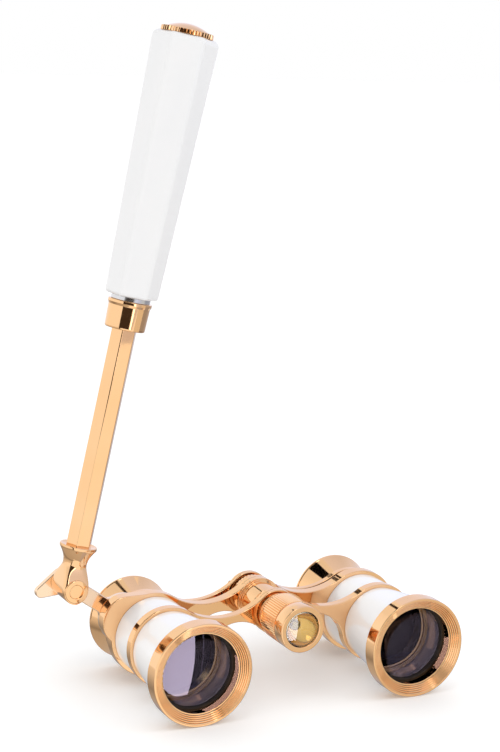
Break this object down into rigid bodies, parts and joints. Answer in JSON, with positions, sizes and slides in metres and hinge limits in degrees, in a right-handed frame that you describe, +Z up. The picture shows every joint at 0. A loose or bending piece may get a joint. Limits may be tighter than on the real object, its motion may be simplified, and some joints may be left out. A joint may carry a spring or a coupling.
{
  "type": "opera glasses",
  "caption": "Opera glasses with hinged bridges, a central focus knob holding a reading lamp, flared eyecups, and a telescopic handle that folds beside one barrel.",
  "frame": {"origin": "middle of the underside of the object's box, on the level of the lowest points of the two objective rings", "axes": "+Y from the objectives towards the eyecups along both optical axes, +Z up, +X towards the barrel without the handle"},
  "size_m": [0.1282, 0.059, 0.2073],
  "materials": {
    "rose_gold": "polished rose-gold plating",
    "gold_brass": "turned bright brass",
    "white_enamel": "glossy pearl-white enamel",
    "white_grip": "glossy white",
    "black_anodised": "black anodised",
    "black_flock": "matt black inside",
    "coated_glass": "violet anti-reflection coating",
    "clear_glass": "polished",
    "lamp_dome": "clear moulded dome",
    "lamp_gold": "gold metallised",
    "led_body": "yellow phosphor on a white carrier",
    "black_plastic": "moulded",
    "steel": "turned steel"
  },
  "bodies": {
    "left_half": {"objective_ring_left": "rose_gold", "lens_retainer_left": "black_anodised", "objective_lens_left": "coated_glass", "front_cone_left": "white_enamel", "stop_ring_left": "gold_brass", "inner_tube_left": "black_flock", "front_bridge_left": "rose_gold", "rear_barrel_left": "white_enamel", "mid_bridge_left": "rose_gold", "hinge_column": "rose_gold", "column_nut": "rose_gold", "handle_bracket": "rose_gold", "bracket_screws": "rose_gold", "pivot_pin": "rose_gold", "pivot_nut": "rose_gold"},
    "right_half": {"objective_ring_right": "rose_gold", "lens_retainer_right": "black_anodised", "objective_lens_right": "coated_glass", "front_cone_right": "white_enamel", "stop_ring_right": "gold_brass", "inner_tube_right": "black_flock", "front_bridge_right": "rose_gold", "rear_barrel_right": "white_enamel", "mid_bridge_right": "rose_gold"},
    "knob": {"focus_knob": "rose_gold", "focus_spindle": "steel", "battery_holder": "black_plastic", "battery_cells": "steel", "lamp_contact": "steel"},
    "lamp_head": {"lamp_lens": "lamp_dome", "lamp_reflector": "lamp_gold", "lamp_led": "led_body"},
    "ocular_left": {"ocular_bridge_left": "rose_gold", "ocular_tube_left": "black_anodised", "eyecup_left": "rose_gold", "eye_lens_left": "clear_glass", "eye_retainer_left": "black_anodised", "focus_sleeve": "steel", "hub_cap": "rose_gold"},
    "ocular_right": {"ocular_bridge_right": "rose_gold", "ocular_tube_right": "black_anodised", "eyecup_right": "rose_gold", "eye_lens_right": "clear_glass", "eye_retainer_right": "black_anodised"},
    "handle": {"handle_block": "rose_gold", "shaft_tube": "rose_gold", "shaft_bush": "gold_brass"},
    "grip": {"collar": "rose_gold", "collar_washer": "steel", "grip": "white_grip", "end_cap": "rose_gold"}
  },
  "joints": [
    {"name": "eye_distance_fold", "type": "hinge", "parent": "left_half", "child": "right_half", "pos_m": [0.01075, 0.0049, 0.0238], "axis": [0, 1, 0], "range_deg": [0, 56]},
    {"name": "ocular_left_slide", "type": "slide", "parent": "left_half", "child": "ocular_left", "axis": [0, 1, 0], "range_m": [-0.0005, 0.0045]},
    {"name": "ocular_right_slide", "type": "slide", "parent": "right_half", "child": "ocular_right", "axis": [0, 1, 0], "range_m": [-0.00051, 0.00451]},
    {"name": "focus_turn", "type": "hinge", "parent": "left_half", "child": "knob", "pos_m": [0.01075, -0.0135, 0.0238], "axis": [0, 1, 0], "range_deg": [-30.2, 270.2]},
    {"name": "handle_fold", "type": "hinge", "parent": "left_half", "child": "handle", "pos_m": [-0.05525, 0.0084, 0.0356], "axis": [0, 1, 0], "range_deg": [-190, 70]},
    {"name": "handle_telescope", "type": "slide", "parent": "handle", "child": "grip", "axis": [0.1934, 0, 0.9811], "range_m": [-0.066, 0]},
    {"name": "lamp_press", "type": "slide", "parent": "knob", "child": "lamp_head", "axis": [0, 1, 0], "range_m": [0, 0.0006], "stiffness_N_per_m": 400}
  ],
  "couplings": [
    {"joint": "focus_turn", "follows": "ocular_left_slide", "rad_per_m": 1047.2},
    {"joint": "ocular_right_slide", "follows": "ocular_left_slide", "ratio": 1}
  ]
}
